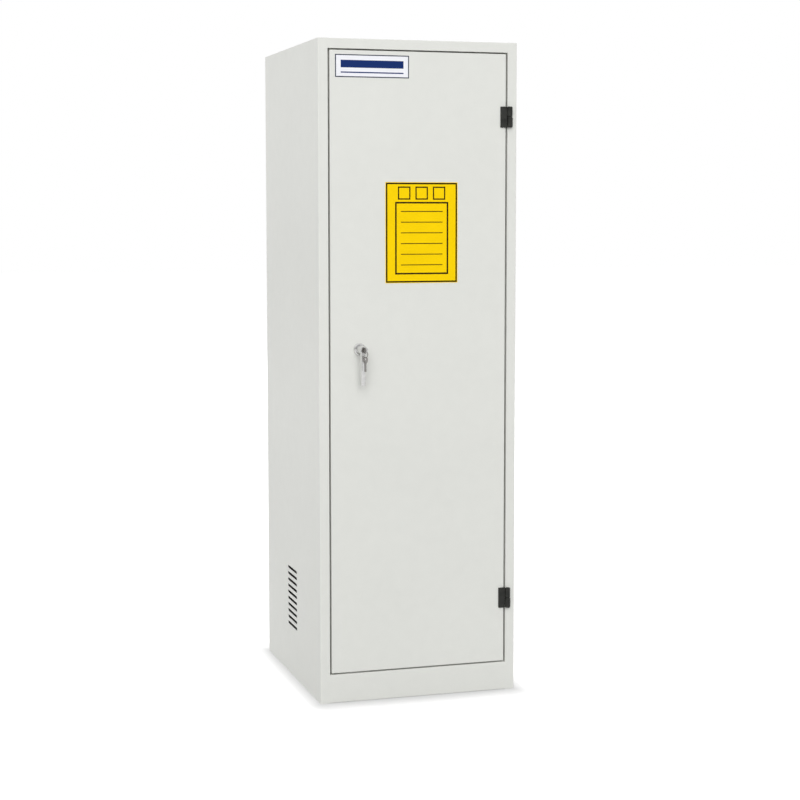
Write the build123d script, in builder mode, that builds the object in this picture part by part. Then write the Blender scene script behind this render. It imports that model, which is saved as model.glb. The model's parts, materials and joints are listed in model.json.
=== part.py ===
from build123d import *

import os
from math import cos, radians, sin

# Tall single-door chemical cabinet: folded steel body, flush door, locking lever, shelves and sump tray.
# Millimetres. X right, Y to the back, Z up. Origin under the middle of the whole object, on the floor.

# Cabinet body
cabinet_width = 476.0
cabinet_depth = 540.0
cabinet_height = 1525.0
sheet = 1.2
fold_inside = 1.0
stile_width = 22.5
header_height = 22.5
plinth_height = 66.5
rear_flange = 20.0
foot_flange = 18.0
weld_flange = 13.0
seam_play = 0.2

# Air slots low in both sides
vent_count = 10
vent_pitch = 15.5
vent_length = 93.0
vent_height = 7.0
vent_first_height = 124.0
vent_setback = 276.0

# Door and its stops
door_gap = 3.5
door_side_gap = 4.3
door_thickness = 20.0
door_lip = 14.0
door_corner_radius = 2.0
door_edge_radius = 1.4
stop_gap = 4.0
stop_lip = 14.0
stop_foot = 18.0
buffer_radius = 5.0
buffer_play = 0.3
buffer_count = 3
buffer_end_distance = 220.0
stiffener_width = 70.0
stiffener_foot = 15.0
stiffener_depth = 13.0
stiffener_end_gap = 30.0

# Surface hinges on the right
hinge_height = 48.0
hinge_top_inset = 144.5
hinge_bottom_inset = 153.0
hinge_axis_inset = 19.0
barrel_radius = 6.0
barrel_gap = 0.5
knuckle_gap = 0.5
knuckle_chamfer = 1.2
knuckle_end_radius = 2.0
pin_radius = 2.5
pin_play = 0.05
pin_end_gap = 1.0
leaf_width = 15.0
leaf_thickness = 5.0
leaf_edge_radius = 3.5
leaf_end_radius = 1.2
leaf_play = 0.4
web_thickness = 4.0
hinge_foot_width = 10.0
hinge_foot_gap = 0.5
hinge_screw_radius = 2.0
hinge_screw_play = 0.1
hinge_screw_length = 3.6
hinge_screw_head_radius = 3.5
hinge_screw_head_height = 2.4
door_screw_spacing = 28.0
frame_screw_spacing = 12.0

# Locking lever
handle_inset = 68.0
handle_rise = 38.0
rose_radius = 14.25
rose_thickness = 7.0
rose_edge_radius = 3.0
rose_barrel_radius = 9.0
rose_barrel_length = 7.0
rose_hole_play = 0.1
rose_nut_flats = 26.0
rose_nut_thickness = 5.0
nut_play = 0.05
hub_radius = 9.5
hub_reach = 40.0
hub_edge_radius = 1.5
hub_gap = 0.3
shank_radius = 5.0
shank_play = 0.05
lever_length = 82.0
lever_width = 10.4
lever_thickness = 13.0
lever_setback = 4.0
lever_tip_radius = 3.5
lever_edge_radius = 2.0

# Lock, key, ring and spare key
plug_radius = 6.0
plug_length = 26.0
plug_play = 0.05
keyway_play = 0.2
keyway_depth = 22.0
key_thickness = 1.8
key_blade_width = 6.5
key_blade_length = 19.5
key_bow_width = 15.0
key_bow_length = 15.5
key_bow_corner = 6.0
key_shoulder_gap = 0.5
key_notch_depth = 1.6
key_notch_width = 2.0
key_notch_pitch = 4.0
key_notch_count = 4
key_hole_radius = 2.8
key_hole_rim = 2.4
ring_radius = 7.5
ring_wire_radius = 0.75
ring_play = 0.3
ring_turn = 28.0

# Locking rods inside the door
cam_seat_depth = 8.0
cam_thickness = 3.0
cam_radius = 18.0
cam_half_sweep = 45.0
cam_rim = 4.0
cam_boss_radius = 11.0
spindle_flats = 7.0
spindle_play = 0.05
spindle_recess = 0.3
cam_screw_radius = 2.0
cam_screw_length = 8.0
cam_screw_head_radius = 4.5
cam_screw_head_height = 2.4
cam_pin_radius = 2.5
cam_rivet_radius = 2.0
cam_pin_play = 0.05
cam_pin_overhang = 0.6
yoke_gap = 0.5
yoke_thickness = 3.0
yoke_wall = 3.2
yoke_reach = 20.0
slot_side_play = 0.4
slot_lift_play = 0.9
rod_radius = 4.0
rod_play = 0.3
rod_hole_play = 1.0
rod_end_inset = 5.0
guide_length = 16.0
guide_foot = 9.0
guide_end_distance = 45.0
guide_cam_distance = 150.0

# Card and plate on the door
card_width = 174.0
card_height = 231.0
card_thickness = 0.5
card_offset = 6.3
card_top_inset = 295.5
plate_width = 174.0
plate_height = 51.0
plate_thickness = 0.5
plate_left_inset = 13.0
plate_top_inset = 9.6

# Shelves and sump tray
strip_width = 18.0
strip_depth = 5.0
strip_sheet = 1.0
strip_front_setback = 45.0
strip_rear_setback = 60.0
strip_lift = 34.0
strip_top_gap = 30.0
strip_slot_width = 10.0
strip_slot_height = 4.0
strip_slot_pitch = 25.0
strip_first_slot = 20.0
clip_sheet = 1.5
clip_width = 9.0
clip_ledge = 14.0
clip_drop = 16.0
clip_tab_reach = 2.5
clip_tab_height = 2.8
clip_tab_drop = 6.0
shelf_shares = {"lower_shelf": 0.224, "middle_shelf": 0.49, "upper_shelf": 0.755}
shelf_play = 1.0
shelf_rim = 28.0
shelf_front_gap = 14.0
shelf_rear_gap = 8.0
shelf_corner_radius = 3.0
tray_height = 92.0
tray_wall = 4.0
tray_rim = 9.0
tray_side_gap = 8.0
tray_front_gap = 4.0
tray_rear_gap = 6.0
tray_corner_radius = 22.0
tray_foot_radius = 6.0

# Planes and lines that several pieces share
lock_key_reach = hub_reach + key_shoulder_gap + key_bow_length
key_hole_setback = key_hole_rim + key_hole_radius
key_hole_reach = lock_key_reach - key_hole_setback
ring_along = Vector(cos(radians(ring_turn)), sin(radians(ring_turn)), 0)
ring_across = Vector(-sin(radians(ring_turn)), cos(radians(ring_turn)), 0)
spare_half_depth = key_bow_width / 2 * ring_across.Y + key_thickness / 2 * ring_along.Y
hardware_reach = max(lock_key_reach, key_hole_reach + spare_half_depth)
half_width = cabinet_width / 2
front = (hardware_reach - cabinet_depth) / 2
back = front + cabinet_depth
wall_inside = half_width - sheet
opening_side = half_width - stile_width
opening_top = cabinet_height - header_height
rebate = door_thickness + stop_gap
stop_face = front + rebate
inside_front = stop_face + sheet
inside_back = back - 2 * sheet
corner_relief = fold_inside + seam_play

door_width = 2 * (opening_side - door_side_gap)
door_bottom = plinth_height + door_gap
door_top = opening_top - door_gap
door_height = door_top - door_bottom
door_middle = (door_top + door_bottom) / 2
skin_inside = front + sheet

hinge_x = half_width - hinge_axis_inset
hinge_y = front - barrel_gap - barrel_radius
hinge_levels = {"lower": door_bottom + hinge_bottom_inset, "upper": door_top - hinge_top_inset}
leaf_right = hinge_x - barrel_radius - leaf_play
leaf_left = leaf_right - leaf_width
hinge_foot_left = opening_side + hinge_foot_gap
hinge_foot_middle = hinge_foot_left + hinge_foot_width / 2
leaf_middle = (leaf_left + leaf_right) / 2
knuckle_height = (hinge_height - knuckle_gap) / 2
frame_knuckle_offset = (knuckle_height + knuckle_gap) / 2
hinge_hole_radius = hinge_screw_radius + hinge_screw_play

handle_x = handle_inset - door_width / 2
handle_height = door_middle + handle_rise
lever_front = hub_reach - lever_setback
ring_sag = key_hole_radius - ring_wire_radius - ring_play

cam_back = cam_seat_depth + cam_thickness
yoke_front = cam_back + yoke_gap
rod_depth = yoke_front + yoke_thickness / 2
pin_near = cam_radius * cos(radians(cam_half_sweep))
pin_rise = cam_radius * sin(radians(cam_half_sweep))
slot_length = cam_radius - pin_near + 2 * (cam_pin_radius + slot_side_play)
slot_height = 2 * (cam_pin_radius + slot_lift_play)
rod_offset = (cam_radius + pin_near) / 2
yoke_width = slot_length + 2 * yoke_wall
yoke_end = slot_height / 2 + yoke_wall

strip_bottom = plinth_height + tray_height + strip_lift
strip_top = opening_top - strip_top_gap
strip_length = strip_top - strip_bottom
strip_slot_count = int((strip_length - 2 * strip_first_slot) // strip_slot_pitch) + 1
strip_face = wall_inside - strip_depth
strip_lines = {"front": inside_front + strip_front_setback, "rear": inside_back - strip_rear_setback}
shelf_half_width = strip_face - clip_sheet - shelf_play
shelf_front = inside_front + shelf_front_gap
shelf_back = inside_back - shelf_rear_gap
tray_half_width = wall_inside - tray_side_gap
tray_front = stop_face + stop_foot + tray_front_gap
tray_back = inside_back - tray_rear_gap

os.makedirs("parts", exist_ok=True)


def finish_piece(builder, name):
    # Name a finished piece and write its own file.
    builder.part.label = name
    export_step(builder.part, f"parts/{name}.step")


def folded_section(*points, thickness=sheet):
    # Section of a folded sheet: its thickness lies to the left of the path through the points.
    corners = [Vector(*point) for point in points]
    turns = [(b - a).cross(c - b).Z for a, b, c in zip(corners, corners[1:], corners[2:])]
    radii = [fold_inside + thickness if turn > 0 else fold_inside for turn in turns]
    with BuildSketch() as section:
        with BuildLine():
            FilletPolyline(*points, radius=radii)
            offset(amount=thickness, side=Side.LEFT)
        make_face()
    return section.sketch


def front_plane(depth):
    # Upright plane at a depth behind the door's face, looking out of the front, with X and Z as drawn.
    return Plane.XZ.offset(-(front + depth))


def handle_plane(depth):
    # The same, with its origin on the lever's axis.
    return Plane((handle_x, front + depth, handle_height), x_dir=(1, 0, 0), z_dir=(0, -1, 0))


def block(x_range, y_range, z_range, mode=Mode.ADD):
    # Plain block between two limits on each axis.
    spans = [high - low for low, high in (x_range, y_range, z_range)]
    middle = [(high + low) / 2 for low, high in (x_range, y_range, z_range)]
    with Locations(tuple(middle)):
        return Box(*spans, mode=mode)


# Side panels: wall, front stile, rear flange and foot flange, with the air slots


def side_panel():
    with BuildPart() as panel:
        with BuildSketch():
            add(
                folded_section(
                    (opening_side, front),
                    (half_width, front),
                    (half_width, back),
                    (half_width - rear_flange, back),
                )
            )
        extrude(amount=cabinet_height)
        block(
            (half_width - foot_flange, wall_inside),
            (front + sheet + corner_relief, inside_back),
            (0, sheet),
        )
        vent_middle = vent_first_height + vent_pitch * (vent_count - 1) / 2
        with BuildSketch(Plane.YZ.offset(half_width)):
            with Locations((front + vent_setback, vent_middle)):
                with GridLocations(0, vent_pitch, 1, vent_count):
                    SlotOverall(vent_length, vent_height)
        extrude(amount=-2 * sheet, mode=Mode.SUBTRACT)
    return panel.part


def hinge_frame_holes(depth):
    # Screw holes behind both hinge feet, through the sheet that ends at a depth.
    with BuildPart() as holes:
        with BuildSketch(front_plane(depth)):
            for level in hinge_levels.values():
                with Locations((hinge_foot_middle, level - frame_knuckle_offset)):
                    with GridLocations(0, frame_screw_spacing, 1, 2):
                        Circle(hinge_hole_radius)
        extrude(amount=depth)
    return holes.part


with BuildPart() as right_side_panel:
    add(side_panel())
    add(hinge_frame_holes(sheet), mode=Mode.SUBTRACT)
finish_piece(right_side_panel, "right_side_panel")

with BuildPart() as left_side_panel:
    add(side_panel())
    mirror(about=Plane.YZ, mode=Mode.REPLACE)
finish_piece(left_side_panel, "left_side_panel")

# Top panel: flat sheet between the walls, header folded down in front, flange folded down behind

with BuildPart() as top_panel:
    block((-wall_inside, wall_inside), (front + sheet, back - sheet), (cabinet_height - sheet, cabinet_height))
    fillet(top_panel.edges().filter_by(Axis.Z), corner_relief)
    with BuildSketch(Plane.YZ):
        add(
            folded_section(
                (front + rebate, cabinet_height),
                (front, cabinet_height),
                (front, opening_top),
            )
        )
    extrude(amount=opening_side, both=True)
    with BuildSketch(Plane.YZ):
        add(
            folded_section(
                (back, cabinet_height - rear_flange),
                (back, cabinet_height),
                (back - rebate, cabinet_height),
            )
        )
    extrude(amount=half_width - rear_flange, both=True)
finish_piece(top_panel, "top_panel")

# Base panel: cabinet floor, plinth folded down in front and turned in at the bottom

with BuildPart() as base_panel:
    block((-wall_inside, wall_inside), (front + sheet, inside_back), (plinth_height - sheet, plinth_height))
    fillet(base_panel.edges().filter_by(Axis.Z), corner_relief)
    with BuildSketch(Plane.YZ):
        add(
            folded_section(
                (front + rebate, plinth_height),
                (front, plinth_height),
                (front, 0),
                (front + foot_flange, 0),
            )
        )
    extrude(amount=opening_side, both=True)
    with BuildSketch(Plane.XY.offset(plinth_height)):
        with Locations((handle_x - rod_offset, front + rod_depth)):
            Circle(rod_radius + rod_hole_play)
    extrude(amount=-2 * sheet, mode=Mode.SUBTRACT)
finish_piece(base_panel, "base_panel")

# Back panel, welded inside the flanges

with BuildPart() as back_panel:
    block(
        (-wall_inside + corner_relief, wall_inside - corner_relief),
        (inside_back, back - sheet),
        (0, cabinet_height - sheet - corner_relief),
    )
finish_piece(back_panel, "back_panel")

# Jambs: weld flange behind the stile, return beside the door's edge, and the stop lip behind the door


def side_jamb():
    with BuildPart() as jamb:
        with BuildSketch(Plane.XY.offset(plinth_height)):
            add(
                folded_section(
                    (opening_side - stop_lip, stop_face),
                    (opening_side, stop_face),
                    (opening_side, front + sheet),
                    (opening_side + weld_flange, front + sheet),
                )
            )
        extrude(amount=opening_top - plinth_height)
        for bottom in (plinth_height, opening_top - stop_lip):
            block(
                (opening_side - 2 * stop_lip, opening_side),
                (front, stop_face + rebate),
                (bottom, bottom + stop_lip),
                mode=Mode.SUBTRACT,
            )
    return jamb.part


with BuildPart() as right_jamb:
    add(side_jamb())
    add(hinge_frame_holes(2 * sheet), mode=Mode.SUBTRACT)
finish_piece(right_jamb, "right_jamb")

with BuildPart() as left_jamb:
    add(side_jamb())
    mirror(about=Plane.YZ, mode=Mode.REPLACE)
finish_piece(left_jamb, "left_jamb")

with BuildPart() as header_jamb:
    with BuildSketch(Plane.YZ):
        add(
            folded_section(
                (front + sheet, opening_top + weld_flange),
                (front + sheet, opening_top),
                (stop_face, opening_top),
                (stop_face, opening_top - stop_lip),
            )
        )
    extrude(amount=opening_side, both=True)
    with BuildSketch(Plane.XY.offset(opening_top)):
        with Locations((handle_x + rod_offset, front + rod_depth)):
            Circle(rod_radius + rod_hole_play)
    extrude(amount=2 * sheet, mode=Mode.SUBTRACT)
finish_piece(header_jamb, "header_jamb")

with BuildPart() as bottom_stop:
    with BuildSketch(Plane.YZ):
        add(
            folded_section(
                (stop_face, plinth_height + stop_lip),
                (stop_face, plinth_height),
                (stop_face + stop_foot, plinth_height),
            )
        )
    extrude(amount=opening_side, both=True)
finish_piece(bottom_stop, "bottom_stop")

# Rubber buffers on the lock side's stop lip

buffer_spacing = (door_height - 2 * buffer_end_distance) / (buffer_count - 1)
with BuildPart() as door_buffers:
    with BuildSketch(front_plane(rebate)):
        with Locations((stop_lip / 2 - opening_side, door_middle)):
            with GridLocations(0, buffer_spacing, 1, buffer_count):
                Circle(buffer_radius)
    extrude(amount=stop_gap - buffer_play)
    tips = door_buffers.faces().filter_by(Axis.Y).group_by(Axis.Y)[0]
    fillet(tips.edges(), (stop_gap - buffer_play) / 2)
finish_piece(door_buffers, "door_buffers")

# Door skin: a pan with returned edges and a lip, open at the back

with BuildPart() as door_skin:
    with BuildSketch(front_plane(door_thickness)):
        with Locations((0, door_middle)):
            Rectangle(door_width, door_height)
    extrude(amount=door_thickness)
    fillet(door_skin.edges().filter_by(Axis.Y), door_corner_radius)
    fillet(door_skin.faces().sort_by(Axis.Y)[0].edges(), door_edge_radius)
    with BuildSketch(front_plane(door_thickness - sheet)):
        with Locations((0, door_middle)):
            Rectangle(door_width - 2 * sheet, door_height - 2 * sheet)
    extrude(amount=door_thickness - 2 * sheet, mode=Mode.SUBTRACT)
    with BuildSketch(front_plane(door_thickness)):
        with Locations((0, door_middle)):
            Rectangle(door_width - 2 * door_lip, door_height - 2 * door_lip)
    extrude(amount=sheet, mode=Mode.SUBTRACT)
    with BuildSketch(front_plane(sheet)):
        with Locations((handle_x, handle_height)):
            Circle(rose_barrel_radius + rose_hole_play)
        for level in hinge_levels.values():
            with Locations((leaf_middle, level)):
                with GridLocations(0, door_screw_spacing, 1, 2):
                    Circle(hinge_hole_radius)
    extrude(amount=sheet, mode=Mode.SUBTRACT)
    for side, edge in ((1, door_top), (-1, door_bottom)):
        with BuildSketch(Plane.XY.offset(edge)):
            with Locations((handle_x + side * rod_offset, front + rod_depth)):
                Circle(rod_radius + rod_play)
        extrude(amount=-2 * side * sheet, mode=Mode.SUBTRACT)
finish_piece(door_skin, "door_skin")

with BuildPart() as door_stiffener:
    with BuildSketch(Plane.XY.offset(door_bottom + stiffener_end_gap)):
        add(
            folded_section(
                (-stiffener_width / 2 - stiffener_foot, skin_inside),
                (-stiffener_width / 2, skin_inside),
                (-stiffener_width / 2, skin_inside + stiffener_depth),
                (stiffener_width / 2, skin_inside + stiffener_depth),
                (stiffener_width / 2, skin_inside),
                (stiffener_width / 2 + stiffener_foot, skin_inside),
            )
        )
    extrude(amount=door_height - 2 * stiffener_end_gap)
finish_piece(door_stiffener, "door_stiffener")

# Hinges: a full-height leaf with the upper knuckle on the door, the lower knuckle on the frame, and a pin


def hinge_door_leaf(level):
    bottom = level - hinge_height / 2
    with BuildPart() as leaf:
        block((leaf_left, leaf_right), (front - leaf_thickness, front), (bottom, bottom + hinge_height))
        fillet(leaf.edges().filter_by(Axis.Z).group_by(Axis.Y)[0].sort_by(Axis.X)[0], leaf_edge_radius)
        fillet(leaf.faces().filter_by(Axis.Z).edges().filter_by(Axis.X).group_by(Axis.Y)[0], leaf_end_radius)
        with BuildSketch(Plane((hinge_x, hinge_y, bottom + hinge_height - knuckle_height))):
            Circle(barrel_radius)
        extrude(amount=knuckle_height)
        chamfer(leaf.edges().filter_by(GeomType.CIRCLE).sort_by(SortBy.RADIUS)[-2:], knuckle_chamfer)
        block(
            (leaf_right, hinge_x),
            (front - leaf_thickness, front - leaf_thickness + web_thickness),
            (bottom + hinge_height - knuckle_height + knuckle_chamfer, bottom + hinge_height - knuckle_chamfer),
        )
        with BuildSketch(Plane((hinge_x, hinge_y, bottom))):
            Circle(pin_radius + pin_play)
        extrude(amount=hinge_height, mode=Mode.SUBTRACT)
        with BuildSketch(front_plane(0)):
            with Locations((leaf_middle, level)):
                with GridLocations(0, door_screw_spacing, 1, 2):
                    Circle(hinge_hole_radius)
        extrude(amount=hinge_screw_length - sheet + hinge_screw_play, mode=Mode.SUBTRACT)
    return leaf


def hinge_frame_leaf(level):
    bottom = level - hinge_height / 2
    with BuildPart() as leaf:
        with BuildSketch(Plane((hinge_x, hinge_y, bottom))):
            Circle(barrel_radius)
        extrude(amount=knuckle_height)
        rims = leaf.edges().filter_by(GeomType.CIRCLE).sort_by(Axis.Z)
        chamfer(rims[-1], knuckle_chamfer)
        fillet(rims[0], knuckle_end_radius)
        block(
            (hinge_foot_left, hinge_foot_left + hinge_foot_width),
            (hinge_y, front),
            (bottom + knuckle_end_radius, bottom + knuckle_height - knuckle_chamfer),
        )
        with BuildSketch(Plane((hinge_x, hinge_y, bottom))):
            Circle(pin_radius + pin_play)
        extrude(amount=knuckle_height, mode=Mode.SUBTRACT)
        with BuildSketch(front_plane(0)):
            with Locations((hinge_foot_middle, level - frame_knuckle_offset)):
                with GridLocations(0, frame_screw_spacing, 1, 2):
                    Circle(hinge_hole_radius)
        extrude(amount=hinge_screw_length - 2 * sheet + hinge_screw_play, mode=Mode.SUBTRACT)
    return leaf


def hinge_pin(level):
    with BuildPart() as pin:
        with BuildSketch(Plane((hinge_x, hinge_y, level - hinge_height / 2 + pin_end_gap))):
            Circle(pin_radius)
        extrude(amount=hinge_height - 2 * pin_end_gap)
    return pin


for place, height in hinge_levels.items():
    finish_piece(hinge_door_leaf(height), f"{place}_hinge_door_leaf")
    finish_piece(hinge_frame_leaf(height), f"{place}_hinge_frame_leaf")
    finish_piece(hinge_pin(height), f"{place}_hinge_pin")


def hinge_screws(x, seat, spacing, lift):
    # Pan-head screws from inside, heads seated at a depth behind the face.
    with BuildPart() as screws:
        for level in hinge_levels.values():
            for radius, start, length in (
                (hinge_screw_radius, seat, hinge_screw_length),
                (hinge_screw_head_radius, seat + hinge_screw_head_height, hinge_screw_head_height),
            ):
                with BuildSketch(front_plane(start)):
                    with Locations((x, level + lift)):
                        with GridLocations(0, spacing, 1, 2):
                            Circle(radius)
                extrude(amount=length)
    return screws


finish_piece(hinge_screws(leaf_middle, sheet, door_screw_spacing, 0), "hinge_door_screws")
frame_screws = hinge_screws(hinge_foot_middle, 2 * sheet, frame_screw_spacing, -frame_knuckle_offset)
finish_piece(frame_screws, "hinge_frame_screws")

# Handle rose: domed flange on the door's face with a threaded barrel through it, and its nut inside

with BuildPart() as handle_rose:
    with BuildSketch(handle_plane(0)):
        Circle(rose_radius)
    extrude(amount=rose_thickness)
    fillet(handle_rose.faces().sort_by(Axis.Y)[0].edges(), rose_edge_radius)
    with BuildSketch(handle_plane(rose_barrel_length)):
        Circle(rose_barrel_radius)
    extrude(amount=rose_barrel_length)
    with BuildSketch(handle_plane(rose_barrel_length)):
        Circle(shank_radius + shank_play)
    extrude(amount=rose_barrel_length + rose_thickness, mode=Mode.SUBTRACT)
finish_piece(handle_rose, "handle_rose")

with BuildPart() as rose_nut:
    with BuildSketch(handle_plane(sheet + rose_nut_thickness)):
        RegularPolygon(rose_nut_flats / 2, 6, major_radius=False)
        Circle(rose_barrel_radius + nut_play, mode=Mode.SUBTRACT)
    extrude(amount=rose_nut_thickness)
finish_piece(rose_nut, "rose_nut")

# Lever: straight arm hanging from a round hub, with the shank and square end behind

with BuildPart() as handle_lever:
    with BuildSketch(handle_plane(lever_thickness - lever_front)) as arm:
        with Locations((0, -lever_length / 2)):
            Rectangle(lever_width, lever_length)
        fillet(arm.vertices().sort_by(Axis.Y)[:2], lever_tip_radius)
    extrude(amount=lever_thickness)
    fillet(handle_lever.edges().filter_by(Axis.Y, reverse=True), lever_edge_radius)
    with BuildSketch(handle_plane(-rose_thickness - hub_gap)):
        Circle(hub_radius)
    extrude(amount=hub_reach - rose_thickness - hub_gap)
    rims = handle_lever.edges().filter_by(GeomType.CIRCLE).sort_by(Axis.Y)
    fillet(rims[0], hub_edge_radius)
    with BuildSketch(handle_plane(cam_seat_depth)):
        Circle(shank_radius)
    extrude(amount=cam_seat_depth + rose_thickness + hub_gap)
    with BuildSketch(handle_plane(cam_back - spindle_recess)):
        Rectangle(spindle_flats, spindle_flats)
    extrude(amount=cam_thickness - spindle_recess)
    with BuildSketch(handle_plane(-hub_reach)):
        Circle(plug_radius + plug_play)
    extrude(amount=-plug_length, mode=Mode.SUBTRACT)
    with BuildSketch(handle_plane(cam_back)):
        Circle(cam_screw_radius + cam_pin_play)
    extrude(amount=cam_screw_length + spindle_recess, mode=Mode.SUBTRACT)
finish_piece(handle_lever, "handle_lever")

with BuildPart() as lock_plug:
    with BuildSketch(handle_plane(plug_length - hub_reach)):
        Circle(plug_radius)
    extrude(amount=plug_length)
    with BuildSketch(handle_plane(-hub_reach)):
        Rectangle(key_thickness + 2 * keyway_play, key_blade_width + 2 * keyway_play)
    extrude(amount=-keyway_depth, mode=Mode.SUBTRACT)
finish_piece(lock_plug, "lock_plug")


def key_blank(plane):
    # Flat key: the plane's X runs from the tip to the bow, with the shoulder at its origin.
    with BuildPart() as blank:
        with BuildSketch(plane):
            with Locations((-key_blade_length / 2, 0)):
                Rectangle(key_blade_length, key_blade_width)
            for index in range(key_notch_count):
                with Locations((-key_notch_pitch * (index + 1), key_blade_width / 2)):
                    Rectangle(key_notch_width, 2 * key_notch_depth, mode=Mode.SUBTRACT)
            with Locations((key_bow_length / 2, 0)):
                RectangleRounded(key_bow_length, key_bow_width, key_bow_corner)
            with Locations((key_bow_length - key_hole_setback, 0)):
                Circle(key_hole_radius, mode=Mode.SUBTRACT)
        extrude(amount=key_thickness / 2, both=True)
    return blank


lock_axis_point = (handle_x, front - hub_reach - key_shoulder_gap, handle_height)
lock_key = key_blank(Plane(lock_axis_point, x_dir=(0, -1, 0), z_dir=(1, 0, 0)))
finish_piece(lock_key, "lock_key")

# Ring through the key's bow, turned a little, with the spare key hanging from its lowest point

ring_top = Vector(handle_x, front - key_hole_reach, handle_height - ring_sag)
ring_middle = ring_top - Vector(0, 0, ring_radius)
ring_bottom = ring_middle - Vector(0, 0, ring_radius)
spare_hole = ring_bottom - Vector(0, 0, ring_sag)
spare_shoulder = spare_hole - Vector(0, 0, key_bow_length - key_hole_setback)

with BuildPart(Plane(ring_middle, x_dir=ring_along, z_dir=ring_across)) as key_ring:
    Torus(ring_radius, ring_wire_radius)
finish_piece(key_ring, "key_ring")

spare_key = key_blank(Plane(spare_shoulder, x_dir=(0, 0, 1), z_dir=ring_along))
finish_piece(spare_key, "spare_key")

# Cam on the lever's square end, with a pin for each rod

with BuildPart() as lock_cam:
    with BuildSketch(handle_plane(cam_back)):
        with PolarLocations(cam_radius, 2, start_angle=-cam_half_sweep):
            Circle(cam_pin_radius + cam_rim)
        make_hull()
        Circle(cam_boss_radius)
        Rectangle(spindle_flats + 2 * spindle_play, spindle_flats + 2 * spindle_play, mode=Mode.SUBTRACT)
        with PolarLocations(cam_radius, 2, start_angle=-cam_half_sweep):
            Circle(cam_rivet_radius + cam_pin_play, mode=Mode.SUBTRACT)
    extrude(amount=cam_thickness)
finish_piece(lock_cam, "lock_cam")

pin_length = yoke_gap + yoke_thickness + cam_pin_overhang
with BuildPart() as cam_pins:
    with BuildSketch(handle_plane(cam_back + pin_length)):
        with PolarLocations(cam_radius, 2, start_angle=-cam_half_sweep):
            Circle(cam_pin_radius)
    extrude(amount=pin_length)
    with BuildSketch(handle_plane(cam_back)):
        with PolarLocations(cam_radius, 2, start_angle=-cam_half_sweep):
            Circle(cam_rivet_radius)
    extrude(amount=cam_thickness)
finish_piece(cam_pins, "cam_pins")

with BuildPart() as cam_screw:
    with BuildSketch(handle_plane(cam_back + cam_screw_head_height)):
        Circle(cam_screw_head_radius)
    extrude(amount=cam_screw_head_height)
    with BuildSketch(handle_plane(cam_back)):
        Circle(cam_screw_radius)
    extrude(amount=cam_screw_length)
finish_piece(cam_screw, "cam_screw")

# Locking rods: a slotted yoke plate on the cam's pin, then a round rod to the door's edge


def locking_rod(side, door_edge):
    # Side 1 runs up on the right of the lever's axis, side -1 runs down on its left.
    rod_x = handle_x + side * rod_offset
    slot_z = handle_height - side * pin_rise
    yoke_start = slot_z - side * yoke_end
    yoke_stop = handle_height + side * (cam_radius + cam_pin_radius + cam_rim + yoke_reach)
    rod_stop = door_edge - side * rod_end_inset
    yoke_low, yoke_high = sorted((yoke_start, yoke_stop))
    rod_low, rod_high = sorted((yoke_stop - side * rod_radius, rod_stop))
    with BuildPart() as rod:
        with BuildSketch(Plane.XY.offset(rod_low)):
            with Locations((rod_x, front + rod_depth)):
                Circle(rod_radius)
        extrude(amount=rod_high - rod_low)
        block(
            (rod_x - yoke_width / 2, rod_x + yoke_width / 2),
            (front + yoke_front, front + yoke_front + yoke_thickness),
            (yoke_low, yoke_high),
        )
        with BuildSketch(front_plane(yoke_front + yoke_thickness)):
            with Locations((rod_x, slot_z)):
                RectangleRounded(slot_length, slot_height, cam_pin_radius)
        extrude(amount=yoke_thickness, mode=Mode.SUBTRACT)
    return rod


def rod_guides(side, door_edge):
    # Two hat-shaped straps welded to the skin, round the rod near its end and near the cam.
    rod_x = handle_x + side * rod_offset
    bore = rod_radius + rod_play
    crown = front + rod_depth + bore
    levels = (door_edge - side * guide_end_distance, handle_height + side * guide_cam_distance)
    with BuildPart() as guides:
        for level in levels:
            with BuildSketch(Plane.XY.offset(level - guide_length / 2)):
                add(
                    folded_section(
                        (rod_x - bore - guide_foot, skin_inside),
                        (rod_x - bore, skin_inside),
                        (rod_x - bore, crown),
                        (rod_x + bore, crown),
                        (rod_x + bore, skin_inside),
                        (rod_x + bore + guide_foot, skin_inside),
                    )
                )
            extrude(amount=guide_length)
    return guides


for place, direction, edge in (("upper", 1, door_top), ("lower", -1, door_bottom)):
    finish_piece(locking_rod(direction, edge), f"{place}_locking_rod")
    finish_piece(rod_guides(direction, edge), f"{place}_rod_guides")

# Card and plate, thin sheets on the door's face

with BuildPart() as contents_card:
    with BuildSketch(front_plane(0)):
        with Locations((card_offset, door_top - card_top_inset - card_height / 2)):
            Rectangle(card_width, card_height)
    extrude(amount=card_thickness)
finish_piece(contents_card, "contents_card")

plate_x = plate_left_inset + (plate_width - door_width) / 2
with BuildPart() as name_plate:
    with BuildSketch(front_plane(0)):
        with Locations((plate_x, door_top - plate_top_inset - plate_height / 2)):
            Rectangle(plate_width, plate_height)
    extrude(amount=plate_thickness)
finish_piece(name_plate, "name_plate")

# Slotted strips on the walls, with the clips that carry each shelf


def shelf_strip(middle):
    # Shallow channel against the right-hand wall, with a column of slots in its face.
    near, far = middle - strip_width / 2, middle + strip_width / 2
    with BuildPart() as strip:
        with BuildSketch(Plane.XY.offset(strip_bottom)):
            add(
                folded_section(
                    (wall_inside, far),
                    (strip_face, far),
                    (strip_face, near),
                    (wall_inside, near),
                    thickness=strip_sheet,
                )
            )
        extrude(amount=strip_length)
        slot_middle = strip_bottom + strip_first_slot + strip_slot_pitch * (strip_slot_count - 1) / 2
        with BuildSketch(Plane.YZ.offset(strip_face)):
            with Locations((middle, slot_middle)):
                with GridLocations(0, strip_slot_pitch, 1, strip_slot_count):
                    Rectangle(strip_slot_width, strip_slot_height)
        extrude(amount=strip_sheet, mode=Mode.SUBTRACT)
    return strip.part


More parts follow.
